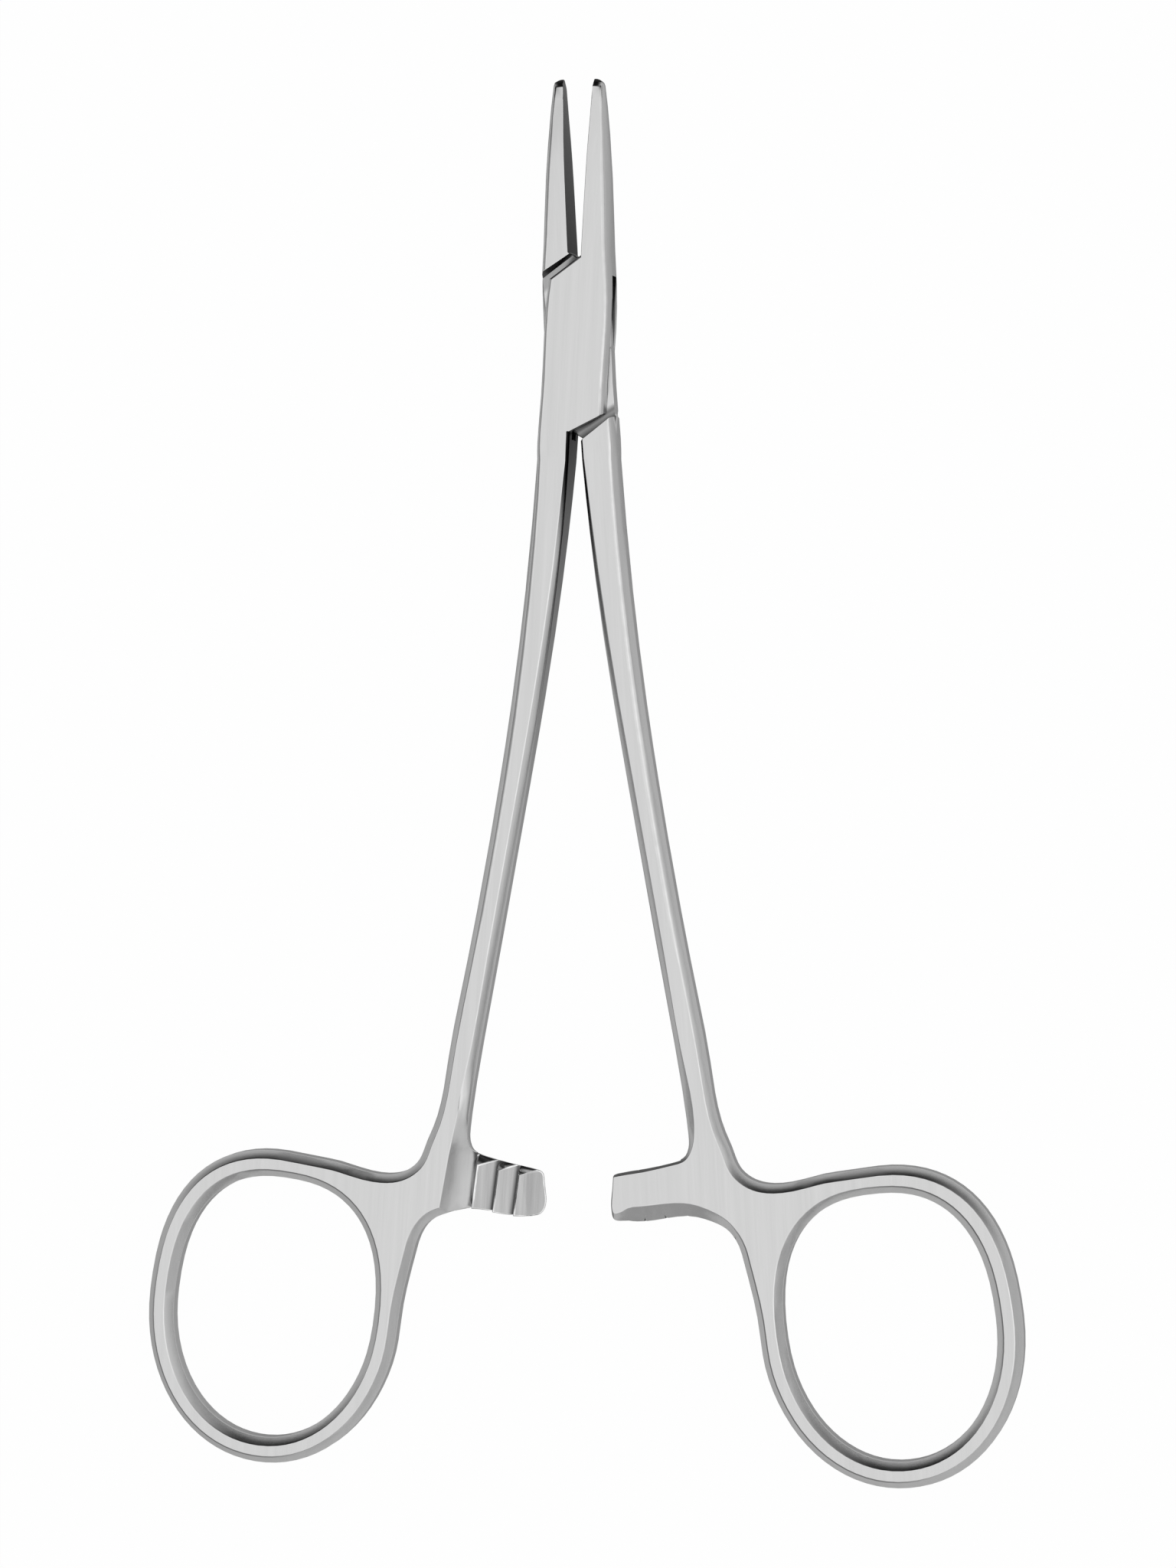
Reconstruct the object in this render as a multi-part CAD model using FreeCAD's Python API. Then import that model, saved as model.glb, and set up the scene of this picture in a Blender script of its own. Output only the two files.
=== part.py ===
# Needle holder, 13 cm pattern, with a box lock, smooth jaws and a three-step ratchet.
#
# Three pieces: the box half (right jaw, box with its slot, left shank and ring, rear ratchet
# arm), the through half (left jaw, thin middle bar, right shank and ring, front ratchet arm)
# and the pivot pin, whose ends are ground flush with the box.
#
# Frame: millimetres, +Y to the jaw tips, +X to the ring of the through half, +Z up from the
# surface that the instrument lies on. The origin is on the pivot axis, at the box's underside.
# Both halves are drawn closed, with the closing plane at x = 0 and the middle plane at z = 0,
# and with the ring towards +X. They are turned to the half-open rest position at the end.

import FreeCAD, Part
import math
import os

V = FreeCAD.Vector

# Rest position and closing
rest_open = 6.6            # degrees between the halves, from tips touching to the rest position
tip_gap = 0.03             # between the jaw tips when closed
jaw_base_gap = 0.26        # between the jaws at their root when closed: the tips meet first
shank_gap = 0.06           # between the shanks just below the box when closed

# Jaws
tip_y = 24.24
jaw_root_y = 8.75
tip_half_width = 0.88      # of the closed pair of jaws, at the very tip
jaw_mid_half_width = 2.00  # of the closed pair, halfway along
jaw_root_half_width = 2.64
tip_thick = 1.56
jaw_mid_thick = 3.8
tip_corner = 0.95          # radius of a tip's outer corner, seen from the front
tip_flat = 0.25            # width of the straight end of a tip
nose = 0.74                # the tips are bevelled off over this length along the jaws,
nose_drop = 0.58           # and by this from each face

# Box lock
box_thick = 4.4
box_grind = 0.04           # ground off each face of the box to make it flat
box_half_width = 3.10      # at the pivot
box_head_half_width = 2.86
box_foot_half_width = 3.12
box_flat_y = 6.6           # the box is ground flat from here to the same place below the pivot
bar_thick = 1.6            # middle bar of the through half
slot_clear = 0.03          # running clearance on each face of the bar
box_bevel = 0.30

# The slanted ends cross the closing plane at this distance from the pivot and rise by this
# slope. The head is the end towards the jaws.
wall_head = (8.09, 0.81)
wall_foot = (7.73, 0.576)
head_gap = 0.21            # from the walls' head to the jaw's shoulder, closed
foot_gap = 0.88            # from the walls' foot to the shank's shoulder, closed
head_shoulder_slope = 0.564
head_shoulder_lean = 0.09  # down at the bar, the jaw's shoulder stands out by this,
head_shoulder_turn = 0.08  # and its slope is more by this
foot_shoulder_slope = 0.677
slot_end = (8.50, 0.70)    # end of the slot
bar_end_gap = 0.16         # from the bar's ends to the slot's ends, along Y
pin_radius = 1.25
pin_clear = 0.04           # radial running clearance in the bar

# Shanks
join_y = -10.4             # a shank leaves the box here
plate_y = -40.0            # below this the thickness stays the same
shank_top_thick = 4.0
shank_low_thick = 3.0
join_bevel = 0.38
join_bevel_drop = 1.20
inner_edge = (0.24, 0.32)  # bevel along the inner edges just below the box: inset and drop
shank_bevel = 0.70
shank_bevel_drop = 0.85
shank_top_outer = 3.14     # from the closing plane to the outer side, just below the box

# Inner and outer side of the shank from the closing plane, at shares of the way from the box
# to plate_y, and from there to the ratchet arm
upper_line = [(0.282, 0.38, 3.40), (0.568, 1.03, 3.88), (0.780, 1.66, 4.38)]
plate_sides = (2.40, 5.03)
lower_line = [(0.2435, 3.44, 6.01), (0.490, 4.49, 7.16), (0.736, 5.57, 8.35),
              (0.922, 6.17, 9.38)]

# Finger ring: the opening is a superellipse, flatter at the top than at the bottom
ring_inner_x = 14.1        # from the closing plane to the opening
ring_top_rise = 1.77       # top of the opening above the arm's lower edge
ring_half_width = 9.6
ring_half_length = 12.14
ring_lean = 4.5            # degrees, foot of the ring outwards
ring_wall = 2.4
ring_bevel = 0.72
ring_top_power = 2.45
ring_foot_power = 2.05

# Ratchet
arm_outer_radius = 79.57   # lower edge of the arm, about the pivot
arm_tip_width = 4.32
arm_root_width = 5.07
arm_reach = 1.3            # the arms pass the closing plane by this when closed
arm_slant = 0.25           # the upper end of an arm's tip lies this much further back
arm_bevel = 0.20
teeth = 3
tooth_pitch = 1.98
tooth_depth = 0.70
tooth_lean = 4.2           # degrees, nearly radial to the pivot
first_tooth_x = 5.45       # locking face of the tooth nearest the shank
ratchet_gap = 0.10         # between the crests of the two arms
tooth_chamfer = 1.0        # width of the chamfer along the upper ends of the teeth
box_arm_round = 1.2        # corner radius of the rear arm's tip
through_arm_round = 0.55   # corner radius of the front arm's tip

soft_edge = 0.36           # inset of a rounded edge's middle line, as a share of its bevel
flat_edge = 0.50           # the same on a flat bevel

half_box = box_thick / 2
half_low = shank_low_thick / 2
half_bar = bar_thick / 2
wide = box_half_width + 2          # beyond the sides of the box
arm_tip_radius = arm_outer_radius - arm_tip_width
arm_root_radius = arm_outer_radius - arm_root_width
ring_top_y = ring_top_rise - arm_outer_radius
ring_x = ring_inner_x + ring_half_width
ring_y = ring_top_y - ring_half_length


def polygon(points):
    return Part.makePolygon(list(points) + [points[0]])


def spline(points, parameters):
    curve = Part.BSplineCurve()
    curve.interpolate(Points=points, Parameters=parameters)
    return curve


def mix(low, high, share):
    return low + (high - low) * share


def envelope_section(y, half_width, half_thick, crown, bevel, drop, soft):
    """Outline across the closed pair: flat or crowned faces with rounded edges."""
    corner = half_thick - crown
    side = corner - drop
    quarter = [(half_width, side), (half_width - soft * bevel, corner - drop / 2),
               (half_width - bevel, corner)]
    upper = quarter + [(0, half_thick)] + [(-x, z) for x, z in reversed(quarter)]
    lower = [(x, -z) for x, z in reversed(upper)]
    return polygon([V(x, y, z) for x, z in upper + lower])


def closed_envelope():
    """Jaws and box as one closed body, before the halves are cut from it."""
    over = half_box + box_grind
    wall = half_box - half_bar + box_grind    # a wall's side is round over its whole height
    jaw_mid_y = (tip_y + jaw_root_y) / 2
    jaws = [
        envelope_section(tip_y, tip_half_width, tip_thick / 2, 0.06, 0.28, 0.48, soft_edge),
        envelope_section(mix(tip_y, jaw_mid_y, 0.42), mix(tip_half_width, jaw_mid_half_width, 0.5),
                         mix(tip_thick, jaw_mid_thick, 0.42) / 2, 0.10, 0.34, 0.85, soft_edge),
        envelope_section(jaw_mid_y, jaw_mid_half_width, jaw_mid_thick / 2,
                         0.14, 0.38, 1.35, soft_edge),
        envelope_section(mix(jaw_mid_y, jaw_root_y, 0.5),
                         mix(jaw_mid_half_width, jaw_root_half_width, 0.54),
                         mix(jaw_mid_thick, box_thick, 0.62) / 2, 0.10, 0.36, wall, soft_edge),
        envelope_section(jaw_root_y, jaw_root_half_width, over - box_grind / 2,
                         0.04, 0.32, wall, soft_edge),
    ]
    box = [
        envelope_section(box_flat_y, box_head_half_width, over, 0, box_bevel, wall, soft_edge),
        envelope_section(0, box_half_width, over, 0, box_bevel, wall, soft_edge),
        envelope_section(-box_flat_y, box_foot_half_width, over, 0, box_bevel, wall, soft_edge),
        envelope_section(join_y, shank_top_outer, shank_top_thick / 2, 0, join_bevel,
                         join_bevel_drop, soft_edge),
    ]
    body = Part.makeLoft(jaws + box, True, False)
    slab = Part.makeBox(2 * wide, tip_y - join_y + 2, box_thick, V(-wide, join_y - 1, -half_box))
    return body.common(slab)


def jaw_and_box(head, foot):
    """The envelope cut to one half: jaw on the left, full box, start of the right shank.

    head and foot are the slanted ends, each as distance from the pivot and slope.
    """
    tip_x = tip_gap / 2
    base_x = jaw_base_gap / 2
    inner = shank_gap / 2
    head_y, head_rise = head
    foot_y, foot_rise = foot
    corner = V(-tip_x - tip_flat, tip_y, 0)
    corner_end = V(-tip_half_width - 0.2, tip_y - tip_corner, 0)
    corner_mid = V(mix(corner.x, corner_end.x, 0.68), mix(corner.y, corner_end.y, 0.30), 0)
    points = [
        corner_end,
        V(-wide, tip_y - tip_corner, 0),
        V(-wide, -foot_y + foot_rise * wide, 0),
        V(inner, -foot_y - foot_rise * inner, 0),
        V(inner, join_y, 0),
        V(wide, join_y, 0),
        V(wide, head_y - head_rise * wide, 0),
        V(-base_x, head_y + head_rise * base_x, 0),
        V(-tip_x, tip_y, 0),
        corner,
    ]
    edges = [Part.makeLine(a, b) for a, b in zip(points, points[1:])]
    edges.append(Part.Arc(corner, corner_mid, corner_end).toShape())
    plan = Part.Face(Part.Wire(edges))
    plan.translate(V(0, 0, -wide))
    half = closed_envelope().common(plan.extrude(V(0, 0, 2 * wide)))

    # The bevels of the tip, and those along the inner edge below the box
    half = bevelled(half, [[V(x, tip_y - nose, tip_thick / 2 + 0.02),
                            V(x, tip_y - nose * 0.4, tip_thick / 2 - nose_drop * 0.48),
                            V(x, tip_y, tip_thick / 2 - nose_drop),
                            V(x, tip_y + 1, tip_thick / 2 - nose_drop),
                            V(x, tip_y + 1, tip_thick), V(x, tip_y - nose, tip_thick)]
                           for x in (-wide, wide)])
    inset, drop = inner_edge
    corner_y = -foot_y - foot_rise * inner
    flat_run = (corner_y - join_y) / (-box_flat_y - join_y)
    sections = []
    for y, z in ((join_y, shank_top_thick / 2),
                 (corner_y, mix(shank_top_thick / 2, half_box + box_grind, flat_run))):
        sections.append([V(inner, y, z - drop), V(inner + soft_edge * inset, y, z - drop / 2),
                         V(inner + inset, y, z), V(inner + inset, y, z + 1),
                         V(inner - 0.01, y, z + 1), V(inner - 0.01, y, z - drop)])
    return bevelled(half, sections)


def bevelled(body, sections):
    """The body less what lies between two outlines, on both of its faces."""
    cutter = Part.makeLoft([polygon(points) for points in sections], True, True)
    return body.cut(cutter).cut(cutter.mirror(V(0, 0, 0), V(0, 0, 1)))


def shank_section(y, inner, outer, half_thick, inner_bevel, outer_bevel, inner_drop, drop):
    upper = [(outer, half_thick - drop), (outer - soft_edge * outer_bevel, half_thick - drop / 2),
             (outer - outer_bevel, half_thick), (inner + inner_bevel, half_thick),
             (inner + soft_edge * inner_bevel, half_thick - inner_drop / 2),
             (inner, half_thick - inner_drop)]
    lower = [(x, -z) for x, z in reversed(upper)]
    return polygon([V(x, y, z) for x, z in upper + lower])


def upper_shank():
    sections = [shank_section(join_y, shank_gap / 2, shank_top_outer, shank_top_thick / 2,
                              inner_edge[0], join_bevel, inner_edge[1], join_bevel_drop)]
    for way, inner, outer in upper_line + [(1.0,) + plate_sides]:
        share = way ** 0.6
        sections.append(shank_section(
            mix(join_y, plate_y, way), inner, outer,
            mix(shank_top_thick, shank_low_thick, share) / 2,
            mix(inner_edge[0], shank_bevel, share), mix(join_bevel, shank_bevel, share),
            mix(inner_edge[1], shank_bevel_drop, share),
            mix(join_bevel_drop, shank_bevel_drop, share)))
    return Part.makeLoft(sections, True, False)


def ring_point(angle, grow):
    """Point of the ring's opening, grown outwards, at an angle from +X about its centre."""
    power = ring_top_power if math.sin(angle) > 0 else ring_foot_power
    c, s = math.cos(angle), math.sin(angle)
    across = math.copysign(abs(c) ** (2 / power), c) * (ring_half_width + grow)
    along = math.copysign(abs(s) ** (2 / power), s) * (ring_half_length + grow)
    lean = math.radians(ring_lean)
    return (ring_x + across * math.cos(lean) - along * math.sin(lean),
            ring_y + across * math.sin(lean) + along * math.cos(lean))


def on_arc(radius, x):
    return (x, -math.sqrt(radius ** 2 - x ** 2))


def outline_runs(tip_round):
    """Sides of the lower part as three runs of (x, y, bevel, share of the bevel at its middle)."""
    low = [(plate_y,) + plate_sides]
    low += [(mix(plate_y, -arm_root_radius, way), inner, outer)
            for way, inner, outer in lower_line]
    _, foot_inner, foot_outer = low[-1]
    web_x, web_y = ring_inner_x, ring_top_y

    outer = [(x, y, shank_bevel, soft_edge) for y, _, x in low]
    outer += [(foot_outer + 0.62, web_y + 4.3, ring_bevel, 0.43),
              (foot_outer + 1.24, web_y + 2.65, ring_bevel, flat_edge),
              (foot_outer + 2.5, web_y + 1.55, ring_bevel, flat_edge),
              (web_x - 0.1, web_y + 1.1, ring_bevel, flat_edge),
              (web_x + 2.2, web_y + 1.38, ring_bevel, flat_edge),
              (web_x + 4.5, web_y + 1.88, ring_bevel, flat_edge)]
    start, stop, count = 98.0, -185.0, 21
    for i in range(count + 1):
        x, y = ring_point(math.radians(mix(start, stop, i / count)), ring_wall)
        outer.append((x, y, ring_bevel, flat_edge))
    web_foot = -arm_outer_radius
    outer += [(web_x - 3.4, web_foot - 4.3, ring_bevel, flat_edge),
              (web_x - 3.8, web_foot - 2.7, ring_bevel, flat_edge),
              (web_x - 4.75, web_foot - 1.15, ring_bevel, flat_edge),
              (web_x - 6.2, web_foot - 0.3, ring_bevel, flat_edge)]
    for share in (0.76, 0.44):
        x = share * (web_x - 6.2)
        outer.append(on_arc(arm_outer_radius, x) + (ring_bevel, flat_edge))
    outer.append(on_arc(arm_outer_radius, 0.2) + (0.45, flat_edge))

    tip_low = on_arc(arm_outer_radius, tip_round - arm_reach)
    high_x = arm_slant - arm_reach
    tip_high = on_arc(arm_tip_radius, tip_round * 0.5 + high_x)
    tip = [outer[-1],
           tip_low + (arm_bevel, flat_edge),
           (mix(-arm_reach, tip_low[0], 0.3), tip_low[1] + tip_round * 0.28, arm_bevel, flat_edge),
           (-arm_reach, tip_low[1] + tip_round, arm_bevel, flat_edge),
           (high_x, tip_high[1] - tip_round * 0.9, arm_bevel, flat_edge),
           (mix(high_x, tip_high[0], 0.3), tip_high[1] - tip_round * 0.25, arm_bevel, flat_edge),
           tip_high + (arm_bevel, flat_edge)]

    inner = [tip[-1],
             on_arc(mix(arm_tip_radius, arm_root_radius, 0.45), foot_inner * 0.31)
             + (arm_bevel, flat_edge),
             on_arc(arm_root_radius, foot_inner - 1.47) + (arm_bevel, flat_edge),
             (foot_inner - 0.42, -arm_root_radius + 0.62, 0.3, flat_edge),
             (foot_inner - 0.04, -arm_root_radius + 1.45, 0.45, 0.45)]
    inner += [(x, y, shank_bevel, soft_edge) for y, x, _ in reversed(low)]
    return [outer, tip, inner]


def level_edges(runs, z, share_of):
    """One edge per run, moved inwards by each point's own inset, at height z."""
    edges = []
    ends = []
    for run in runs:
        plan = [V(x, y, 0) for x, y, _, _ in run]
        lengths = [0.0]
        for a, b in zip(plan, plan[1:]):
            lengths.append(lengths[-1] + (b - a).Length)
        curve = spline(plan, lengths)
        moved = []
        for point, length, row in zip(plan, lengths, run):
            tangent = V(*curve.tangent(length)[0])
            inwards = V(-tangent.y, tangent.x, 0) * -1
            if abs(point.y - plate_y) < 1e-6:
                inwards = V(math.copysign(1, inwards.x), 0, 0)
            moved.append(point + inwards * share_of(row))
        ends.append((moved, lengths))
    for i, (moved, lengths) in enumerate(ends):
        if i:
            moved[0] = ends[i - 1][0][-1]
        edges.append(spline([V(p.x, p.y, z) for p in moved], lengths).toShape())
    first, last = ends[0][0][0], ends[-1][0][-1]
    edges.append(Part.makeLine(V(last.x, last.y, z), V(first.x, first.y, z)))
    return edges


def ring_hole_edge(z, grow):
    count = 28
    points = []
    for i in range(count):
        x, y = ring_point(math.radians(360.0 * i / count), grow)
        points.append(V(x, y, z))
    curve = Part.BSplineCurve()
    curve.interpolate(Points=points, PeriodicFlag=True)
    return curve.toShape()


def lower_part(tip_round):
    """Lower shank, ring and the ratchet arm's blank, as one bevelled plate."""
    runs = outline_runs(tip_round)
    side = half_low - shank_bevel_drop
    middle = half_low - shank_bevel_drop / 2
    levels = [(-half_low, lambda row: row[2]), (-middle, lambda row: row[2] * row[3]),
              (-side, lambda row: 0.0), (side, lambda row: 0.0),
              (middle, lambda row: row[2] * row[3]), (half_low, lambda row: row[2])]
    holes = [ring_bevel, ring_bevel * flat_edge, 0.0, 0.0, ring_bevel * flat_edge, ring_bevel]
    rings = [level_edges(runs, z, share_of) for z, share_of in levels]
    hole_edges = [ring_hole_edge(z, grow) for (z, _), grow in zip(levels, holes)]
    faces = []
    for below, above in zip(rings, rings[1:]):
        faces += [Part.makeRuledSurface(a, b) for a, b in zip(below, above)]
    for below, above in zip(hole_edges, hole_edges[1:]):
        faces.append(Part.makeRuledSurface(below, above))
    for edges, hole in ((rings[0], hole_edges[0]), (rings[-1], hole_edges[-1])):
        sheet = Part.Face(Part.Wire(edges))
        faces.append(sheet.cut(Part.Face(Part.Wire([hole]))).Faces[0])
    shell = Part.Shell(faces)
    shell.sewShape()
    plate = Part.Solid(shell)
    if plate.Volume < 0:
        plate.reverse()
    return plate


def ratchet_cutter():
    """What is ground away under the front arm: the relief at its root and the teeth."""
    crest = ratchet_gap / 2
    valley = crest + tooth_depth
    low = -half_low - 1.0
    points = [(first_tooth_x, low), (first_tooth_x, valley)]
    for i in range(teeth):
        x = first_tooth_x - i * tooth_pitch
        points += [(x, crest), (x - tooth_pitch, valley)]
    end_x = -arm_reach - 2.0
    points += [(end_x, valley), (end_x, low)]
    mid_y = -(arm_outer_radius + arm_root_radius) / 2
    reach = 5.0
    face = Part.Face(polygon([V(x, mid_y - reach, z) for x, z in points]))
    steps = face.extrude(V(0, 2 * reach, 0))
    steps.rotate(V(first_tooth_x, mid_y, 0), V(0, 0, 1), tooth_lean)

    # The relief sweeps down from the shank's face to the foot of the first tooth
    lean = math.tan(math.radians(tooth_lean))
    relief_width = 2.55
    sections = []
    for y, reach, foot_z in ((-arm_outer_radius - 1.8, 3.1, valley),
                             (-arm_root_radius + 0.2, 2.2, valley),
                             (-arm_root_radius + 4.4, 1.55, -half_low + 0.9),
                             (-arm_root_radius + 8.5, 0.95, -half_low + 0.55)):
        land_x = first_tooth_x + reach
        foot_x = first_tooth_x - 0.01 - (y - mid_y) * lean
        if foot_z < 0:
            foot_x = land_x - relief_width
        start = V(land_x, y, -half_low - 0.02)
        foot = V(foot_x, y, foot_z)
        bend = V(mix(foot_x, land_x, 0.55), y, mix(foot_z, start.z, 0.42))
        base_a = V(foot_x, y, low)
        base_b = V(land_x, y, low)
        sections.append(Part.Wire([
            Part.Arc(start, bend, foot).toShape(), Part.makeLine(foot, base_a),
            Part.makeLine(base_a, base_b), Part.makeLine(base_b, start)]))
    relief = Part.makeLoft(sections, True, True)

    # Chamfer along the upper ends of the teeth
    root = V(*on_arc(arm_root_radius, first_tooth_x - 0.1), 0)
    tip = V(*on_arc(arm_tip_radius, -arm_reach), 0)
    along = tip - root
    across = V(along.y, -along.x, 0).normalize()
    if across.y > 0:
        across = across * -1
    wedge = polygon([root - across * 0.5 + V(0, 0, valley + 0.35), root + across * tooth_chamfer
                     + V(0, 0, crest), root + across * tooth_chamfer + V(0, 0, low),
                     root - across * 0.5 + V(0, 0, low)])
    chamfer = Part.Face(wedge).extrude(along * 1.1)
    return [steps, relief, chamfer]


def blank(tip_round, head, foot):
    """One half before its share of the box lock is cut: ring on the right, jaw on the left."""
    plate = lower_part(tip_round)
    for cutter in ratchet_cutter():
        plate = plate.cut(cutter)
    return jaw_and_box(head, foot).fuse([upper_shank(), plate]).removeSplitter()


def slanted_band(z, head, foot):
    """Outline across the box between two slanted ends that rise to the right."""
    head_y, head_rise = head
    foot_y, foot_rise = foot
    return polygon([V(-wide, -foot_y - foot_rise * wide, z), V(wide, -foot_y + foot_rise * wide, z),
                    V(wide, head_y + head_rise * wide, z), V(-wide, head_y - head_rise * wide, z)])


def bore(radius):
    return Part.makeCylinder(radius, box_thick + 2, V(0, 0, -half_box - 1))


def through_half():
    """The walls' place is cut away down to the bar, between the two shoulders."""
    bar_end = (slot_end[0] - bar_end_gap, slot_end[1])
    half = blank(through_arm_round, bar_end, bar_end)
    head_y = wall_head[0] + head_gap
    foot = (wall_foot[0] + foot_gap, foot_shoulder_slope)
    for side in (1, -1):
        deep = slanted_band(side * half_bar, (head_y - head_shoulder_lean,
                                              head_shoulder_slope + head_shoulder_turn), foot)
        outside = slanted_band(side * half_box, (head_y, head_shoulder_slope), foot)
        above = slanted_band(side * (half_box + 1), (head_y, head_shoulder_slope), foot)
        half = half.cut(Part.makeLoft([deep, outside, above], True, True))
    return half.cut(bore(pin_radius + pin_clear))


def box_half():
    half = blank(box_arm_round, wall_head, wall_foot)
    half.rotate(V(0, 0, 0), V(0, 1, 0), 180)
    floor = -half_bar - slot_clear
    end_y, rise = slot_end
    slot = Part.Face(slanted_band(floor, (end_y, -rise), (end_y, -rise)))
    return half.cut(slot.extrude(V(0, 0, -2 * floor))).cut(bore(pin_radius))


def pivot_pin():
    return Part.makeCylinder(pin_radius, box_thick, V(0, 0, -half_box))


def at_rest(shape, turn):
    shape.rotate(V(0, 0, 0), V(0, 0, 1), turn)
    shape.translate(V(0, 0, half_box))
    return shape


os.makedirs("parts", exist_ok=True)
pieces = {
    "box_half": at_rest(box_half(), -rest_open / 2),
    "through_half": at_rest(through_half(), rest_open / 2),
    "pivot_pin": at_rest(pivot_pin(), -rest_open / 2),
}
for name, shape in pieces.items():
    shape.exportStep("parts/" + name + ".step")
    print(name, "solids", len(shape.Solids), "valid", shape.isValid(),
          "volume", round(shape.Volume, 1))
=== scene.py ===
# %% [markdown]
# # A needle holder with a box lock, dressed in Blender
# The object is a surgical needle holder of satin stainless steel, 13 cm long, lying half open.
# Its construction comes from a CAD model: two forged halves and the pin that joins them.
# This lesson gives those pieces their rounded edges and their brushed finish, and sets up
# the light and the camera of a plain product photograph.

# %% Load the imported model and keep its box
import math

import bmesh
import bpy
from mathutils import Matrix, Vector
from mathutils.geometry import delaunay_2d_cdt


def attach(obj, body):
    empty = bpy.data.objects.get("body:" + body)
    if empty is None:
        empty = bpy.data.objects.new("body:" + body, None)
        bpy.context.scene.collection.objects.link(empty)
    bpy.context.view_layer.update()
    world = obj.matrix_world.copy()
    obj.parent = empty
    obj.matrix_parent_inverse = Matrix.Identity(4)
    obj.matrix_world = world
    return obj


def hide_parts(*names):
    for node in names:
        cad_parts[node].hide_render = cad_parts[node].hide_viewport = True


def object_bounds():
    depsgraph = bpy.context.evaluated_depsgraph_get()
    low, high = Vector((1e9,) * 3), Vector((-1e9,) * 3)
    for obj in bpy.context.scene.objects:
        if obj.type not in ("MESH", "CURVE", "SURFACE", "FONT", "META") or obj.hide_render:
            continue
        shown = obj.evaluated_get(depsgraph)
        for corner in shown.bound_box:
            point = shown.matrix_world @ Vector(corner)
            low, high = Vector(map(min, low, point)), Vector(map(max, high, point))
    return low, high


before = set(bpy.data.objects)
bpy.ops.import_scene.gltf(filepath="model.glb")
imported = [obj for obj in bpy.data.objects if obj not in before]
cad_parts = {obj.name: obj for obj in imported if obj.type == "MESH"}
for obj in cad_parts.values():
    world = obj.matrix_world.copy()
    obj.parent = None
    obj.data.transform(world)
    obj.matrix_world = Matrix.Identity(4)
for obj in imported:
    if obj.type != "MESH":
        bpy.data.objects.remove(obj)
cad_low, cad_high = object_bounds()
MM = 0.001
print("CAD box in mm", [round(v / MM, 2) for v in cad_high - cad_low])

# %% [markdown]
# ## Small helpers for shader nodes
# Every finish below is a node tree. A few short functions keep the cells readable. They add a
# node with its inputs set or joined, start a group with named sockets, and make the nodes that
# are used most: a sum, a soft step, a mix and a grey ramp.

# %% Helpers: nodes and groups


def feed(tree, value, socket):
    """Join an output to an input, or set the input where the value is a number or a colour."""
    if isinstance(value, bpy.types.NodeSocket):
        tree.links.new(value, socket)
    else:
        socket.default_value = value


def add_node(tree, kind, name, inputs=None, **settings):
    node = tree.nodes.new(kind)
    node.name = node.label = name
    for key, value in settings.items():
        setattr(node, key, value)
    for label, value in (inputs or {}).items():
        feed(tree, value, node.inputs[label])
    return node


def group_tree(name, inputs, outputs):
    """A shader node group whose inputs, given with their values, and outputs are numbers."""
    tree = bpy.data.node_groups.new(name, "ShaderNodeTree")
    for label, value in inputs.items():
        socket = tree.interface.new_socket(label, in_out="INPUT", socket_type="NodeSocketFloat")
        socket.default_value = value
    for label in outputs:
        tree.interface.new_socket(label, in_out="OUTPUT", socket_type="NodeSocketFloat")
    return tree, add_node(tree, "NodeGroupInput", "sizes"), add_node(tree, "NodeGroupOutput", "out")


# %% Helpers: sums, soft steps, mixes and grey ramps


def work_out(tree, name, kind, *values):
    """A Math node. Its values are sockets or numbers."""
    node = add_node(tree, "ShaderNodeMath", name, operation=kind)
    for socket, value in zip(node.inputs, values):
        feed(tree, value, socket)
    return node.outputs[0]


def span(tree, name, source, low, high, smooth=True):
    """A Map Range from low..high to 0..1. It falls where low is more than high."""
    node = add_node(tree, "ShaderNodeMapRange", name,
                    {"Value": source, "From Min": low, "From Max": high},
                    interpolation_type="SMOOTHSTEP" if smooth else "LINEAR")
    return node.outputs["Result"]


def mix(tree, name, share, first, second, **settings):
    """A Mix node, which gives the first value at a share of 0 and the second at 1."""
    node = add_node(tree, "ShaderNodeMix", name, {"Factor": share, "A": first, "B": second},
                    **settings)
    return node.outputs["Result"]


def opaque(grey):
    return (grey, grey, grey, 1.0)


def ramp(tree, name, source, stops):
    """A grey colour ramp with the given (position, grey) stops."""
    node = add_node(tree, "ShaderNodeValToRGB", name, {"Fac": source})
    elements = node.color_ramp.elements
    for position, _ in stops[2:]:
        elements.new(position)
    for element, (position, grey) in zip(elements, sorted(stops)):
        element.position = position
        element.color = opaque(grey)
    return node.outputs["Color"]


# %% [markdown]
# ## The brushed grain
# The last belt that touches such an instrument runs along it, and leaves fine parallel lines.
# A picture of brushed metal would stretch on the sides. A noise that is stretched along Y gives
# such lines on every face at once, because it is a solid pattern in Object coordinates. Two
# layers are mixed: hairlines, and wider soft streaks. The group puts out a height for the Bump
# node and a grey mask that varies the roughness and the colour. It turns with its half, because
# the belt follows each half.

# %% Node group: brushed grain

HAIRLINE_DETAIL, STREAK_DETAIL = 3.0, 2.0
GRAIN_ROUGHNESS = 0.55
STREAK_SHARE = 0.65          # how much of the mask the streaks take


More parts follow.
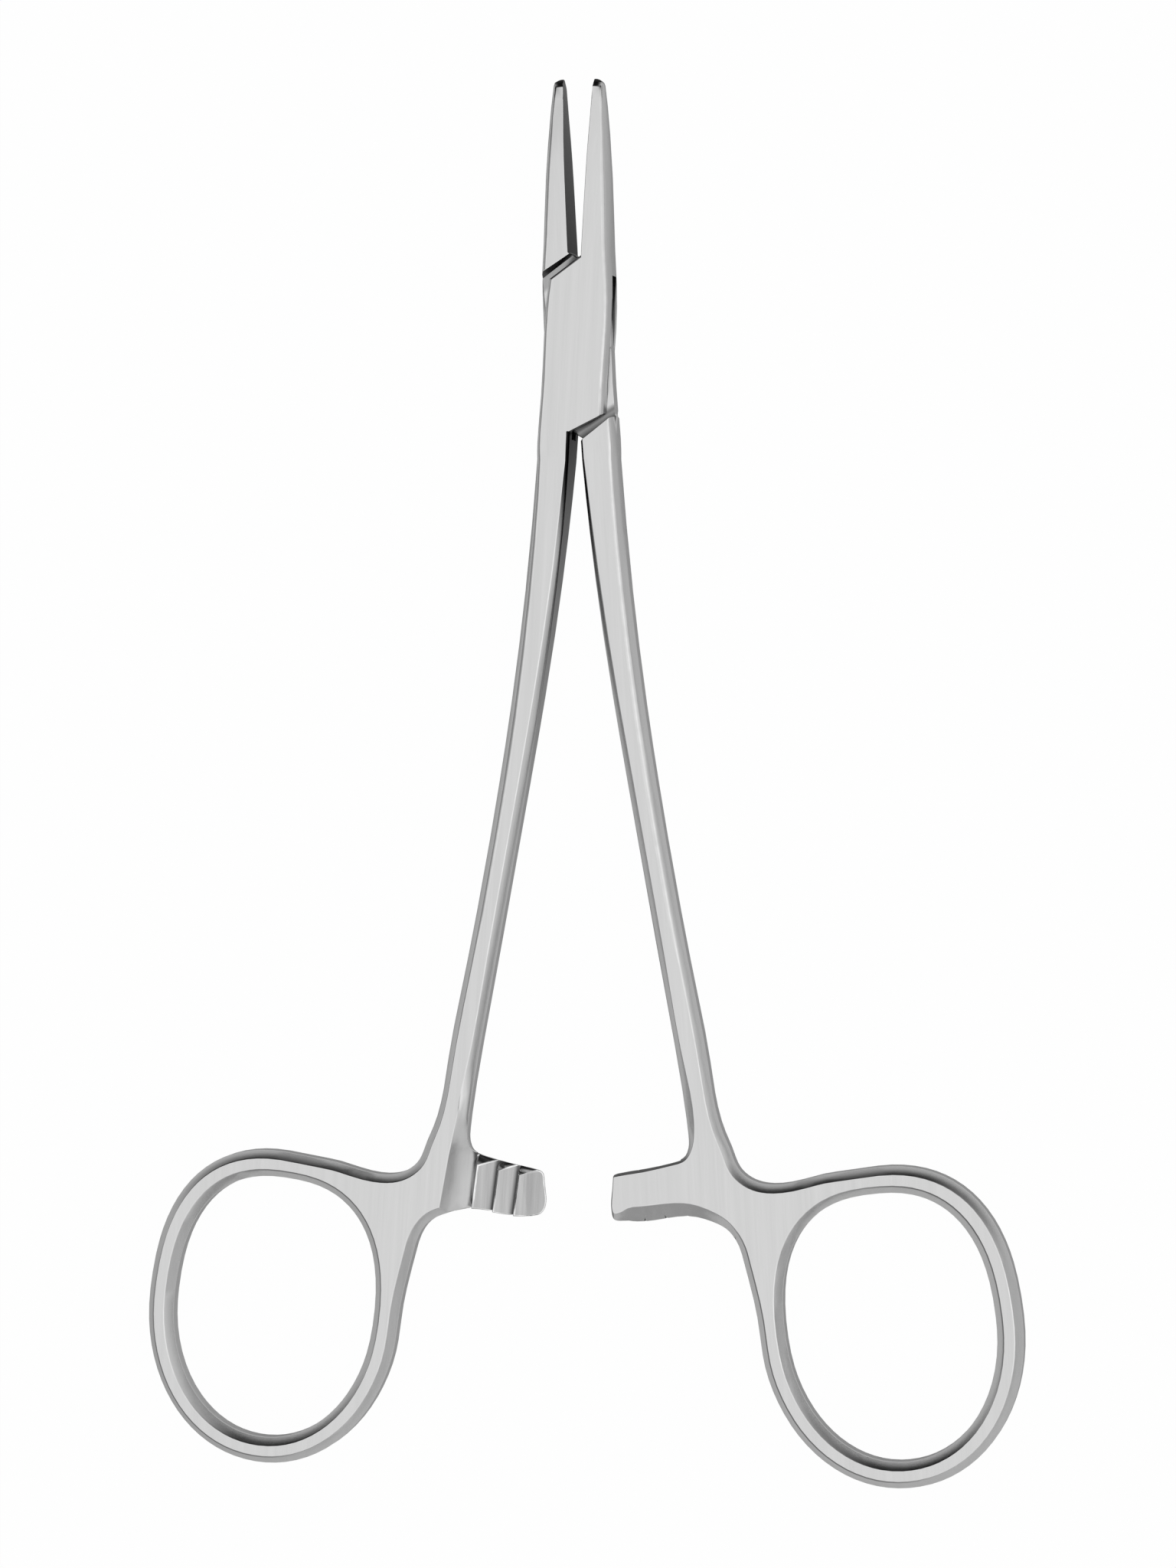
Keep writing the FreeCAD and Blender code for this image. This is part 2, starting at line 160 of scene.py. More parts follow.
def stretched_noise(tree, where, sizes, label, detail):
    """Noise lines along Y, as many across as the group's input with this label says."""
    across = sizes.outputs[label]
    lengthwise = work_out(tree, "along the grain", "MULTIPLY", across, sizes.outputs["Length share"])
    scale = add_node(tree, "ShaderNodeCombineXYZ", "stretch",
                     {"X": across, "Y": lengthwise, "Z": across})
    stretched = add_node(tree, "ShaderNodeVectorMath", "stretched place",
                         {0: where, 1: scale.outputs[0]}, operation="MULTIPLY")
    noise = add_node(tree, "ShaderNodeTexNoise", label, {
        "Scale": 1.0, "Detail": detail, "Roughness": GRAIN_ROUGHNESS,
        "Vector": stretched.outputs[0]})
    return noise.outputs["Fac"]


def brushed_grain():
    tree, sizes, out = group_tree(
        "brushed_grain", {"Lines per metre": 7000.0, "Streaks per metre": 1300.0,
                          "Length share": 0.02, "Turn": 0.0}, ("Height", "Mask"))
    place = add_node(tree, "ShaderNodeTexCoord", "object place")
    turned = add_node(tree, "ShaderNodeVectorRotate", "turn the grain",
                      {"Vector": place.outputs["Object"], "Angle": sizes.outputs["Turn"]},
                      rotation_type="Z_AXIS").outputs["Vector"]
    hairlines = stretched_noise(tree, turned, sizes, "Lines per metre", HAIRLINE_DETAIL)
    streaks = stretched_noise(tree, turned, sizes, "Streaks per metre", STREAK_DETAIL)
    feed(tree, hairlines, out.inputs["Height"])
    feed(tree, mix(tree, "hairlines and streaks", STREAK_SHARE, hairlines, streaks,
                   data_type="FLOAT"), out.inputs["Mask"])
    return tree


grain_group = brushed_grain()
print("grain group with", len(grain_group.nodes), "nodes")

# %% [markdown]
# ## Worn edges with painted sheen
# Where hands and cloths rub, the rounded edges lose their grain and are a little smoother, and
# their colour is painted a little brighter, a painted highlight. The faces that the Bevel modifier
# makes below are marked with an attribute named wear_and_sheen, because a measure such as
# Pointiness would spread over the large flat faces beside them. The group breaks that mask up
# with a noise, so that the wear and the painted sheen come and go along an edge.

# %% Node group: worn edges with painted sheen

WEAR_AND_SHEEN = "wear_and_sheen"
PATCH_LOW, PATCH_HIGH = 0.35, 0.65      # the noise between these goes from the least to all


def wear_and_sheen_edges():
    tree, sizes, out = group_tree("wear_and_sheen_edges", {"Patches per metre": 900.0, "Least": 0.35},
                                  ("Mask",))
    mark = add_node(tree, "ShaderNodeAttribute", "rounded faces", attribute_name=WEAR_AND_SHEEN)
    place = add_node(tree, "ShaderNodeTexCoord", "object place")
    noise = add_node(tree, "ShaderNodeTexNoise", "patches", {
        "Vector": place.outputs["Object"], "Scale": sizes.outputs["Patches per metre"],
        "Detail": 2.0})
    patchy = add_node(tree, "ShaderNodeMapRange", "from the least to all", {
        "Value": noise.outputs["Fac"], "From Min": PATCH_LOW, "From Max": PATCH_HIGH,
        "To Min": sizes.outputs["Least"]})
    feed(tree, work_out(tree, "on the edges", "MULTIPLY", mark.outputs["Fac"],
                        patchy.outputs["Result"]), out.inputs["Mask"])
    return tree


wear_and_sheen_group = wear_and_sheen_edges()
print("rubbed group with", len(wear_and_sheen_group.nodes), "nodes")

# %% [markdown]
# ## Painted shade
# The lands are brushed bright. Faces that lie close together, look at each other or lie in gaps
# get painted shade, and the ratchet, which is cut by a mill, is painted darker: the inner sides,
# the gaps and the slot of the box lock, the ratchet and the small bevels of the tips. They could
# be painted by hand or given materials of their own, but their borders are soft. So one group
# finds them from the position and the normal in Object coordinates, and they move with each
# half. Each cell below adds masks to it, and the last one lays them over each other.

# %% Start the group, with short names for its sums and steps

# masks for painted shade, with the ratchet's milled stretch and the crests' painted highlight
painted_light_group, _, painted_light_out = group_tree("painted_light_places", {}, ("Painted shade", "Milled", "Crest highlight"))
masks = {}


def reckon(name, kind, *values):
    return work_out(painted_light_group, name, kind, *values)


def step(name, source, low, high):
    """A soft step from 0 at low to 1 at high."""
    return span(painted_light_group, name, source, low, high)


def shared(name, *parts):
    """The mask of the places that all the given masks share."""
    product = parts[0]
    for part in parts[1:]:
        product = reckon(name, "MULTIPLY", product, part)
    return product


# %% Where a point lies, and where its face looks

BOX_MIDDLE = (cad_low.z + cad_high.z) / 2

place = add_node(painted_light_group, "ShaderNodeTexCoord", "object place").outputs
x, y, z = add_node(painted_light_group, "ShaderNodeSeparateXYZ", "at", {0: place["Object"]}).outputs
normal_x, normal_y, normal_z = add_node(painted_light_group, "ShaderNodeSeparateXYZ", "normal",
                                        {0: place["Normal"]}).outputs
out_of_line = reckon("from the middle line", "ABSOLUTE", x)
length = reckon("along the instrument, either way", "ABSOLUTE", y)
height = reckon("height", "SUBTRACT", z, BOX_MIDDLE)
depth = reckon("from the middle plane", "ABSOLUTE", height)
from_pivot = add_node(painted_light_group, "ShaderNodeVectorMath", "from the pivot",
                      {0: place["Object"]}, operation="LENGTH").outputs["Value"]
side = reckon("left or right", "SIGN", x)
outwards = reckon("outwards", "MULTIPLY", side, normal_x)
inwards = reckon("inwards", "MULTIPLY", outwards, -1.0)
flat = reckon("up or down", "ABSOLUTE", normal_z)
print("the box's middle plane is at", round(BOX_MIDDLE / MM, 2), "mm")

# %% [markdown]
# ## Inner sides
# A side that faces the middle line of the instrument is an inner side. The jaws' inner faces and
# the inner sides of the shanks get painted shade, darker the closer they are to the lock, because
# they see more and more of each other there. One grey for a whole side would look painted on, so
# a ramp along the instrument sets it. A thin painted dark line, a dark reflection, lies where
# such a side's rounded edge begins, and near the box it takes in the whole edge.

# %% Masks: inner sides and the dark line beside them

LENGTH_LOW, LENGTH_HIGH = -60 * MM, 25 * MM
# greys of the painted shade on the inner sides
SIDE_SHADE_GREYS = ((-45, 0.95), (-28, 0.66), (-15, 0.36), (-9.5, 0.14), (-7, 0.05), (8.8, 0.05),
              (15, 0.16), (24, 0.30))      # millimetres from the pivot, and the grey there

way_along = span(painted_light_group, "way along", y, LENGTH_LOW, LENGTH_HIGH, smooth=False)
painted_side_shade = ramp(painted_light_group, "inner side's painted shade", way_along, [(0.0, 1.0)] + [
    ((at * MM - LENGTH_LOW) / (LENGTH_HIGH - LENGTH_LOW), grey) for at, grey in SIDE_SHADE_GREYS])
masks["inner sides"] = step("inner side", inwards, 0.90, 0.985)

# a painted dark line, a dark reflection, along the inner sides' rounded edges
fine_line = shared("down the shank", step("fine line", inwards, 0.84, 0.90),
                   step("fades", y, -46 * MM, -20 * MM))
broad_line = shared("close to the lock", step("near the box", y, -20 * MM, -11 * MM),
                    step("broad line", inwards, 0.40, 0.55))
masks["dark line"] = shared("line on the shanks",
                            reckon("either line", "MAXIMUM", fine_line, broad_line),
                            step("line ends", inwards, 0.99, 0.95),
                            step("shank", y, 0.0, -5 * MM))
print("masks", list(masks))

# %% [markdown]
# ## The gaps and the slot of the box lock
# One half passes through a slot in the other. Where the walls of the box end, slanted gaps open
# onto the bar of the other half. The gap below the walls is deep and gets dark painted shade,
# with a few painted lines of reflected light across it. They could be cut as tiny steps, but at
# this size a ramp is enough. The gap at the shoulders is shallow, and its painted shade is
# lighter. The slot's own faces look at the middle plane and get dark painted shade. The end faces
# of the walls and the small bevels of the tips get painted shade too.

# %% Masks: gaps, slot, slanted ends and tips

SLANT = 0.62                 # a gap rises by this share of the way to the right
# greys across the foot gap: painted shade with painted lines of reflected light
LINES_ACROSS = [(0.0, 0.30), (0.22, 0.10), (0.40, 0.34), (0.62, 0.14), (0.78, 0.40), (1.0, 0.05)]

slanted = reckon("place across the gap", "MULTIPLY_ADD", x, -SLANT, y)
on_bar = shared("bar's face", step("as deep as the bar", depth, 1.10 * MM, 0.90 * MM),
                step("flat", flat, 0.6, 0.8))
masks["foot gap"] = shared("foot gap", on_bar,
                           step("below the walls", slanted, -7.1 * MM, -7.8 * MM),
                           step("above the shank", slanted, -10.6 * MM, -10.2 * MM))
gap_lines = ramp(painted_light_group, "lines across the foot gap",
                 span(painted_light_group, "way across the foot gap", slanted, -10.4 * MM, -7.3 * MM,
                      smooth=False), LINES_ACROSS)
masks["shoulder gap"] = shared("shoulder gap", on_bar,
                               step("above the walls", slanted, 6.6 * MM, 7.2 * MM),
                               step("below the jaw", y, 11.0 * MM, 10.4 * MM))

to_middle = reckon("height times normal", "MULTIPLY", reckon("above or below", "SIGN", height),
                  normal_z)
masks["slot"] = shared("slot", step("length of the box", length, 12.0 * MM, 11.0 * MM),
                       step("as high as the slot", depth, 1.05 * MM, 0.95 * MM),
                       step("turned to the middle", to_middle, -0.5, -0.8))

end_on = reckon("faces an end", "ABSOLUTE", normal_y)
masks["slanted ends"] = shared("slanted ends",
                               step("within the box", length, 10.6 * MM, 10.2 * MM),
                               step("off the pivot", length, 3 * MM, 4 * MM),
                               step("end face", end_on, 0.45, 0.70))
masks["tips"] = shared("tip bevels", step("faces the tip", normal_y, 0.30, 0.55),
                       step("at the tip", y, 23.0 * MM, 23.6 * MM))
print("masks", list(masks))

# %% [markdown]
# ## The milled ratchet
# The arms' faces that look at each other carry the teeth. A mill cuts their ramps straight
# across, and they show its lines. The ramps and the relief beside them are darker than the
# lands, and the chamfers of the teeth get painted shade. The crests, which rub on the other arm,
# get a painted highlight. The arms' other faces are brushed as the lands are, so each mask
# asks whether a face is turned to the other arm: up on the left one, and down on the right one.

# %% Masks: the toothed stretch, its relief and its ramps

TOOTHED_RADIUS = 73.4 * MM   # the arms with the teeth lie further than this from the pivot

to_other_arm = step("turned to the other arm", reckon("side times up", "MULTIPLY", side, normal_z),
                    -0.05, -0.25)
toothed = shared("toothed", to_other_arm,
                 step("beyond the shank", from_pivot, TOOTHED_RADIUS, TOOTHED_RADIUS + 0.5 * MM),
                 step("below the land", depth, 1.0 * MM, 0.85 * MM),
                 step("past the first tooth", out_of_line, 10.15 * MM, 9.85 * MM))
masks["relief"] = shared("relief beside the teeth", to_other_arm,
                         step("lower than the land", depth, 1.46 * MM, 1.30 * MM),
                         step("near the arm", from_pivot, 66 * MM, 73 * MM),
                         step("face, not a side", flat, 0.60, 0.80))
masks["ramps"] = shared("ramps", toothed, step("ramp", flat, 0.84, 0.90))
# painted shade on the chamfers of the teeth
masks["chamfers"] = shared("chamfers", toothed, step("tilted", flat, 0.87, 0.84),
                           step("not a side", flat, 0.70, 0.76))
print("masks", list(masks))

# %% [markdown]
# ## Valleys and crests
# The teeth follow each other at one pitch, on a line that is turned with its half and leans a
# little against the arm. Each tooth could have masks of its own, but one sum finds them all: the
# distance from the first tooth along that line is divided by the pitch. Its whole number is the
# tooth, and its fraction goes from that tooth's crest to the foot of the next one.

# %% Masks: valleys and crests of the teeth

HALF_TURN = math.radians(3.3)       # each half is turned by this much from the closed pose
TOOTH_LEAN = math.radians(4.2)
TOOTH_PITCH = 1.98 * MM
FIRST_TOOTH = Vector((5.45, -77.04, 0)) * MM      # in the closed pose

first_at = FIRST_TOOTH.x * math.cos(TOOTH_LEAN) + FIRST_TOOTH.y * math.sin(TOOTH_LEAN)
line_turn = HALF_TURN + TOOTH_LEAN
on_line = reckon("place on the line", "ADD",
                reckon("across by x", "MULTIPLY", out_of_line, math.cos(line_turn)),
                reckon("across by y", "MULTIPLY", y, math.sin(line_turn)))
pitches = reckon("pitches", "DIVIDE", reckon("from the first tooth", "SUBTRACT", first_at, on_line),
                TOOTH_PITCH)
share_of_pitch = reckon("share of a pitch", "FRACT", pitches)
# painted shade in the valleys, and below, the crests, which get a painted highlight
masks["valleys"] = shared("valleys", masks["ramps"], step("low end", share_of_pitch, 0.70, 0.93),
                          step("before the last tooth", pitches, 2.1, 1.9))
crests = shared("crests", masks["ramps"], step("high end", share_of_pitch, 0.085, 0.055),
                step("up to the last tooth", pitches, 2.6, 2.4))
print("first tooth at", round(first_at / MM, 2), "mm on its line")

# %% [markdown]
# ## The arms' sides and the bevels of the rings
# The sides of the arms that look up towards the jaws, and the tip of the front arm, lie in each
# other's shade, and it is painted. The bevels round the finger rings get a painted dark
# reflection beside the land where they face the jaws. Where they face down and to the left, only
# a thin painted dark line beside the land does. A texture for each ring would show a seam where
# the ring meets its shank, and these masks follow the normals round it without one.

# %% Masks: upper sides, the front arm's tip and the rings' bevels

DIAGONAL = -0.707            # the same weight for left and down

masks["upper sides"] = shared("arms' upper sides",
                              step("faces up the arm", normal_y, 0.35, 0.60),
                              step("arm's length", from_pivot, 70 * MM, 72 * MM),
                              step("arm's reach", out_of_line, 10.5 * MM, 9.5 * MM))
masks["front tip"] = shared("front arm's tip", step("right", x, MM, 3 * MM),
                            step("end of the arm", from_pivot, 74 * MM, 75 * MM),
                            step("faces in", inwards, 0.45, 0.75),
                            step("its reach", out_of_line, 5 * MM, 4 * MM))

on_bevel = shared("on a bevel", step("tilted face", flat, 0.96, 0.88),
                  step("in the bows", y, -40 * MM, -55 * MM))
# painted dark reflection on the ring bevels beside the land
masks["painted dark bevels"] = shared("painted dark bevels", on_bevel,
                              step("faces the jaws", normal_y, 0.22, 0.75),
                              step("beside the land", depth, 0.75 * MM, 1.45 * MM))
left_and_down = reckon("faces down and left", "ADD",
                      reckon("left share", "MULTIPLY", normal_x, DIAGONAL),
                      reckon("down share", "MULTIPLY", normal_y, DIAGONAL))
# a thin painted dark line beside the land
masks["thin lines"] = shared("line beside the land", on_bevel,
                             step("faces away", left_and_down, 0.25, 0.60),
                             step("close to the land", depth, 1.30 * MM, 1.42 * MM),
                             step("round the rings", out_of_line, 14 * MM, 16 * MM))
print("masks", list(masks))

# %% [markdown]
# ## Laying the masks over each other
# A chain of Mix nodes goes from white, which leaves the steel as bright as the lands, through
# one mask after another, each with a grey of painted shade; the relief and the ramps are just
# darker. A later one covers an earlier one, so the order matters: the broad areas come first, and
# the valleys and chamfers of the teeth last.

# %% The painted shade's greys, from the lowest layer to the topmost

LAYERS = (("inner sides", painted_side_shade), ("dark line", 0.03), ("foot gap", gap_lines),
          ("slanted ends", 0.30), ("tips", 0.05), ("shoulder gap", 0.60), ("slot", 0.12),
          ("painted dark bevels", 0.22), ("thin lines", 0.36), ("relief", 0.84), ("ramps", 0.72),
          ("upper sides", 0.22), ("front tip", 0.30), ("valleys", 0.16), ("chamfers", 0.14))

shade_grey = 1.0
for layer, layer_grey in LAYERS:
    shade_grey = mix(painted_light_group, layer, masks[layer], shade_grey, layer_grey,
                      data_type="FLOAT")
for label, output in (("Painted shade", shade_grey), ("Milled", toothed), ("Crest highlight", crests)):
    feed(painted_light_group, output, painted_light_out.inputs[label])
print("painted shade places with", len(painted_light_group.nodes), "nodes and", len(masks), "masks")

# %% [markdown]
# ## Satin steel
# Stainless steel is a metal with a nearly grey colour. Its satin look comes from the roughness,
# which the grain varies a little, and from a fine bump. The Anisotropic input could stretch the
# highlights, but the hairlines do that by themselves. The specular tint of a metal sets how
# bright it is at a grazing angle. It is under one here, because brushed sides look darker than
# the lands. The colour goes from the grain over the worn edges with their painted sheen and the
# milled ratchet to the painted shade, and the painted highlight on the crests of the teeth comes
# last.

# %% The colour of the steel

SATIN_GREY = 0.66
GRAIN_SPREAD = 0.045         # the grain makes the grey vary by this share either way
# the worn edges' colour is painted brighter by this factor: partly wear, partly painted highlight
EDGE_SHEEN_GAIN = 1.08             # rubbed edges are brighter by this factor
MILLED_LINES = [(0.34, 0.84), (0.66, 1.08)]
# the grey of the crests' painted highlight
CREST_HIGHLIGHT_GREY = 0.97


def steel_colour(tree, grain, wear_and_sheen, places):
    brushed = ramp(tree, "grey from the grain", grain.outputs["Mask"],
                   [(0.30, SATIN_GREY * (1 - GRAIN_SPREAD)), (0.70, SATIN_GREY * (1 + GRAIN_SPREAD))])
    edged = mix(tree, "worn edges with painted sheen", wear_and_sheen.outputs["Mask"], brushed,
                opaque(SATIN_GREY * EDGE_SHEEN_GAIN), data_type="RGBA")
    lines = ramp(tree, "milled lines", grain.outputs["Mask"], MILLED_LINES)
    milled = mix(tree, "lines on the ratchet", places.outputs["Milled"], edged, lines,
                 data_type="RGBA", blend_type="MULTIPLY")
    # the painted shade from the group darkens the colour
    shaded = mix(tree, "painted shade places", 1.0, milled, places.outputs["Painted shade"],
                 data_type="RGBA", blend_type="MULTIPLY")
    # painted highlight on the rounded edges of the teeth and on the crests
    wear_and_sheen_teeth = work_out(tree, "rounded and toothed", "MULTIPLY", wear_and_sheen.outputs["Mask"],
                            places.outputs["Milled"])
    crest_highlight = work_out(tree, "rounded teeth and crests", "MAXIMUM", wear_and_sheen_teeth,
                    places.outputs["Crest highlight"])
    return mix(tree, "painted highlight on the crests", crest_highlight, shaded, opaque(CREST_HIGHLIGHT_GREY),
               data_type="RGBA")


# %% The gloss and the hairlines of the steel

SATIN_ROUGHNESS = 0.22
SMOOTHEST, ROUGHEST = -0.05, 0.07        # what the grain adds to the roughness
EDGE_POLISH = -0.05                      # what rubbing adds to it
HAIRLINE_STRENGTH = 0.05
HAIRLINE_HEIGHT = 0.02 * MM


def steel_roughness(tree, grain, wear_and_sheen):
    gloss = add_node(tree, "ShaderNodeMapRange", "roughness from the grain", {
        "Value": grain.outputs["Mask"], "To Min": SATIN_ROUGHNESS + SMOOTHEST,
        "To Max": SATIN_ROUGHNESS + ROUGHEST})
    return work_out(tree, "smoother edges", "MULTIPLY_ADD", wear_and_sheen.outputs["Mask"], EDGE_POLISH,
                    gloss.outputs["Result"])


def steel_hairlines(tree, grain):
    bump = add_node(tree, "ShaderNodeBump", "hairlines", {
        "Strength": HAIRLINE_STRENGTH, "Distance": HAIRLINE_HEIGHT,
        "Height": grain.outputs["Height"]})
    return bump.outputs["Normal"]


# %% Material: satin steel, once for each half

GRAZING_TINT = 0.6


def satin_steel(name, turn):
    steel = bpy.data.materials.new(name)
    steel.use_nodes = True
    tree = steel.node_tree
    grain = add_node(tree, "ShaderNodeGroup", "grain", node_tree=grain_group)
    grain.inputs["Turn"].default_value = turn
    wear_and_sheen = add_node(tree, "ShaderNodeGroup", "wear_and_sheen", node_tree=wear_and_sheen_group)
    places = add_node(tree, "ShaderNodeGroup", "places", node_tree=painted_light_group)
    shader = tree.nodes["Principled BSDF"]
    shader.inputs["Metallic"].default_value = 1.0
    shader.inputs["Specular Tint"].default_value = opaque(GRAZING_TINT)
    feed(tree, steel_colour(tree, grain, wear_and_sheen, places), shader.inputs["Base Color"])
    feed(tree, steel_roughness(tree, grain, wear_and_sheen), shader.inputs["Roughness"])
    feed(tree, steel_hairlines(tree, grain), shader.inputs["Normal"])
    print(name, "with", len(tree.nodes), "nodes")
    return steel


box_steel = satin_steel("satin_steel_box_half", turn=HALF_TURN)
through_steel = satin_steel("satin_steel_through_half", turn=-HALF_TURN)

# %% [markdown]
# ## Filing the front arm
# The lower edge of the front ratchet arm has a wide flat bevel, which is filed by hand on the
# real one. It rises from the arm's tip, is widest behind it, and runs out towards the shank. The
# solid has a narrower bevel there. Cutting a new one would leave slivers, so the corners of the
# land that lie along this edge are moved up, and the bevel's faces grow with them.

# %% Move the land's edge above the front arm's bevel

# All in millimetres
ARM_TIP, ARM_FOOT = 3.2, 14.6            # from where to where the bevel runs
ARM_LOWER_SIDE = -77.6                   # the arm's lower edge lies below this
BELOW_ARM = -82.0
BEVEL_FOOT, LAND_HEIGHT = 3.2, 3.6       # heights of the bevel's lower line and of the land
HALF_WIDE_AT, WIDEST_AT = 3.5, 5.4
TIP_CORNER, CORNER_DEPTH = 4.2, 1.5      # how far the edge turns round the tip
FILED_WIDTH = 0.92
LOWER_SHARE = 0.55                       # how far the corners below the land go along
RUN_OUT = 0.7                            # under one, so the bevel stays wide for longer


def file_front_arm(work):
    for vert in work.verts:
        x, y, z = vert.co / MM
        if not (ARM_TIP < x < ARM_FOOT and BELOW_ARM < y < ARM_LOWER_SIDE and z > BEVEL_FOOT):
            continue
        rise = min(1.0, 0.5 + 0.5 * (x - HALF_WIDE_AT) / (WIDEST_AT - HALF_WIDE_AT))
        fall = (ARM_FOOT - x) / (ARM_FOOT - WIDEST_AT) if x > WIDEST_AT else 1.0
        corner = min(1.0, (ARM_LOWER_SIDE - y) / CORNER_DEPTH) if x < TIP_CORNER else 1.0
        on_land = 1.0 if z > LAND_HEIGHT else LOWER_SHARE
        vert.co.y += FILED_WIDTH * MM * rise * fall ** RUN_OUT * corner * on_land


# %% [markdown]
# ## How much each edge is rounded
# No edge of the real instrument is sharp. The lands' outer edges, above the finger rings, are
# rolled over by the belt and rounded by almost half a millimetre. The crests of the teeth are
# rounded by less than half of that, and all other edges by a few hundredths of a millimetre.
# An angle limit would round them all alike, so a weight on each edge tells the Bevel modifier
# its share. It is less where the faces beside an edge are too narrow. The pin's rim and its bore
# stay sharp, because they are ground flush with the box and don't show. So do the edges under
# the front arm, where thin faces run together.

# %% The rounding of an edge

EDGE_ROUND = 0.45 * MM       # of the lands' outer edges, above the finger rings
FINE_SHARE = 0.16            # the other edges have this share of it
CREST_SHARE = 0.45           # and the crests of the teeth this one
FULL_LOW = -50 * MM          # the full rounding ends here, above the rings
PIN_RIM = 1.4 * MM           # what is closer to the pivot's axis is the pin's rim or its bore
TOOTH_HEIGHT = 0.8 * MM      # the teeth are within this of the middle plane
ROOM_SHARE = 0.42            # how much of a narrow face a rounding may take
LEAST_WEIGHT = 0.04          # a rounding below this isn't worth its faces
ONWARD = 0.9                 # an edge this much in line with another goes on from it
LAND_LEVEL = 0.9             # the land's normal has at least this Z
RAMP_LEVEL = 0.85            # so has the normal of a tooth's ramp
BACK_LEVEL = 0.3             # the normal of a tooth's steep back has at most this Z
FACES_OUT = 0.2              # an outer side's normal points outwards by at least this


def room_beside(edge):
    """The share of EDGE_ROUND that the faces and edges beside this one leave room for."""
    start = edge.verts[0].co
    line = (edge.verts[1].co - start).normalized()
    room = min(max((vert.co - start).cross(line).length for vert in face.verts)
               for face in edge.link_faces)
    for vert in edge.verts:
        for other in vert.link_edges:
            way = (other.verts[1].co - other.verts[0].co).normalized()
            if other is not edge and abs(way.dot(line)) < ONWARD:
                room = min(room, other.calc_length())
    return ROOM_SHARE * room / EDGE_ROUND


def stays_sharp(middle):
    """Whether an edge with this middle lies at the pin or under the front arm."""
    under_arm = ARM_TIP * MM < middle.x < ARM_FOOT * MM and middle.y < ARM_LOWER_SIDE * MM
    return middle.xy.length < PIN_RIM or (under_arm and BOX_MIDDLE < middle.z < BEVEL_FOOT * MM)


def rounding(edge):
    """The bevel weight of an edge between two faces that meet at an angle."""
    middle = (edge.verts[0].co + edge.verts[1].co) / 2
    if stays_sharp(middle):
        return 0.0
    steep, level = sorted((face.normal for face in edge.link_faces), key=lambda n: abs(n.z))
    outer = steep.x * middle.x > FACES_OUT * abs(middle.x)
    full = abs(level.z) > LAND_LEVEL and outer and middle.y > FULL_LOW
    crest = (middle.length > TOOTHED_RADIUS and abs(middle.z - BOX_MIDDLE) < TOOTH_HEIGHT
             and abs(steep.z) < BACK_LEVEL and abs(level.z) > RAMP_LEVEL and edge.is_convex)
    share = 1.0 if full else CREST_SHARE if crest else FINE_SHARE
    weight = min(share, room_beside(edge))
    return weight if weight > LEAST_WEIGHT else 0.0


# %% [markdown]
# ## Welding the triangles
# A CAD node comes as loose triangles. A copy is welded, and its flat faces are merged, so that
# each edge of the mesh is an edge of the metal and can take its own weight.

# %% Copy a CAD node, weld it and weigh its edges

WELD = 0.002 * MM
FLAT_ANGLE = math.radians(0.4)
SHARP_ANGLE = math.radians(24)


def copied(node, name, material):
    """The copy has the material twice: the second slot marks the rounded faces for a moment."""
    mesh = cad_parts[node].data.copy()
    mesh.name = name
    mesh.materials.clear()
    mesh.materials.append(material)
    mesh.materials.append(material)
    piece = bpy.data.objects.new(name, mesh)
    bpy.context.scene.collection.objects.link(piece)
    return piece


def weld_and_weigh(mesh, filed):
    work = bmesh.new()
    work.from_mesh(mesh)
    bmesh.ops.remove_doubles(work, verts=work.verts, dist=WELD)
    bmesh.ops.dissolve_degenerate(work, edges=work.edges, dist=WELD)
    if filed:
        file_front_arm(work)
        work.normal_update()
    bmesh.ops.dissolve_limit(work, angle_limit=FLAT_ANGLE, verts=work.verts, edges=work.edges)
    bevel_weight = work.edges.layers.float.new("bevel_weight_edge")
    for edge in work.edges:
        edge.smooth = True
        if len(edge.link_faces) == 2 and edge.calc_face_angle() > SHARP_ANGLE:
            edge[bevel_weight] = rounding(edge)
            edge.smooth = edge[bevel_weight] > 0
    work.to_mesh(mesh)
    work.free()
    for face in mesh.polygons:
        face.use_smooth = True
        face.material_index = 0


# %% [markdown]
# ## Faces that fold over
# Beside a rounded edge, the Bevel modifier moves the corners of the large flat faces. At a
# narrow corner it can move one past its neighbour, and then the triangles that fill such a face
# turn over there, which shows as a black sliver. Merging the narrow faces made that worse, so
# each face with such a triangle is filled again: its outline is laid flat and divided anew, with
# all the triangles the same way up.

# %% Find the folded faces and fill them again

LEAST_AREA = 1e-12           # square metres: smaller triangles don't show
TURNED_OVER = 0.4            # the least cosine between a triangle's normal and its face's
INSIDE_ONLY = 1              # the kind of filling that keeps the triangles within the outline
SAME_POINT = 1e-6            # millimetres


def folded_faces(work):
    """The faces with four or more corners that are filled with a triangle that turns over."""
    found = set()
    for corners in work.calc_loop_triangles():
        a, b, c = (corner.vert.co for corner in corners)
        turn = (b - a).cross(c - a)
        face = corners[0].face
        if turn.length > LEAST_AREA and turn.normalized().dot(face.normal) < TURNED_OVER:
            found.add(face)
    return [face for face in work.faces if face in found and len(face.verts) > 3]


